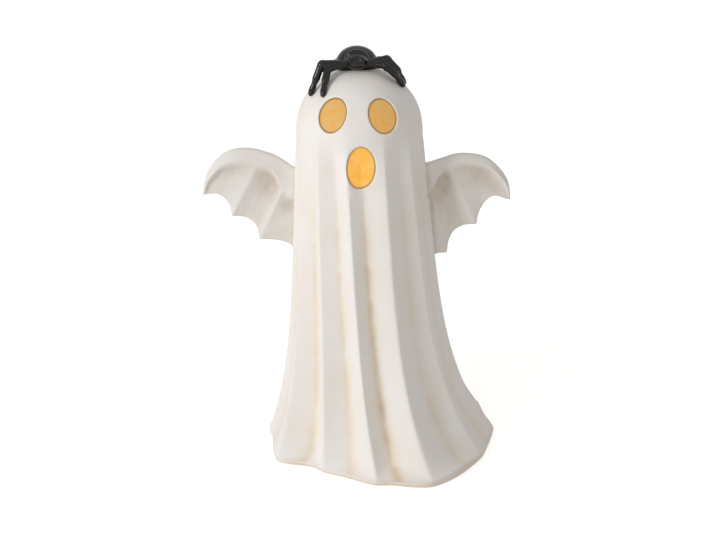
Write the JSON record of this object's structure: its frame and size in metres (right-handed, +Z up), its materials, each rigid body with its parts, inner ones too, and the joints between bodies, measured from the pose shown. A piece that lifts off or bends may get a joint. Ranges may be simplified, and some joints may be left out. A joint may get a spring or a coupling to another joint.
{
  "type": "ceramic ghost figure",
  "caption": "Standing sheet ghost in matte white ceramic with bat wings and a black spider on its head, lit amber through its eyes and mouth from inside",
  "frame": {"origin": "on the table, under the middle of the figure's bounding box", "axes": "+Z up, the face looks towards -Y, +X to the right of someone who faces the ghost"},
  "size_m": [0.2904, 0.2259, 0.4],
  "materials": {
    "bisque": "matte unglazed white with tan antiquing rubbed into the folds",
    "floor_bisque": "matte unglazed white slip-cast clay, tan where the wash has pooled",
    "black_glaze": "high gloss black glaze",
    "amber_pane": "mottled amber, passes light",
    "foot_rubber": "soft matte",
    "box_abs": "moulded, fine spark texture",
    "door_abs": "moulded, fine spark texture",
    "cell_sleeve": "shrunk film sleeve with a metal nub",
    "spring_steel": "nickel plated wire",
    "contact_nickel": "nickel plated strip",
    "switch_case": "moulded nylon",
    "knob_abs": "moulded, worn satin at the thumb",
    "board_mask": "solder mask over woven glass laminate",
    "lamp_epoxy": "clear warm epoxy",
    "red_pvc": "PVC insulation",
    "black_pvc": "PVC insulation",
    "screw_zinc": "zinc plated"
  },
  "bodies": {
    "figure": {"ghost_shell": "bisque", "left_wing": "bisque", "right_wing": "bisque", "base_slab": "floor_bisque", "spider": "black_glaze", "left_eye_pane": "amber_pane", "right_eye_pane": "amber_pane", "mouth_pane": "amber_pane", "foot_pads": "foot_rubber", "battery_box": "box_abs", "battery_cells": "cell_sleeve", "contact_springs": "spring_steel", "contact_plates": "contact_nickel", "switch_body": "switch_case", "led_board": "board_mask", "led_lamps": "lamp_epoxy", "red_lead": "red_pvc", "black_lead": "black_pvc", "board_screws": "screw_zinc"},
    "door": {"battery_door": "door_abs"},
    "switch": {"switch_knob": "knob_abs"}
  },
  "joints": [
    {"name": "door_hinge", "type": "hinge", "parent": "figure", "child": "door", "pos_m": [-0.007, 0, 0.0028], "axis": [0, 1, 0], "range_deg": [0, 90]},
    {"name": "switch_slide", "type": "slide", "parent": "figure", "child": "switch", "axis": [0, 1, 0], "range_m": [-0.003, 0]}
  ]
}
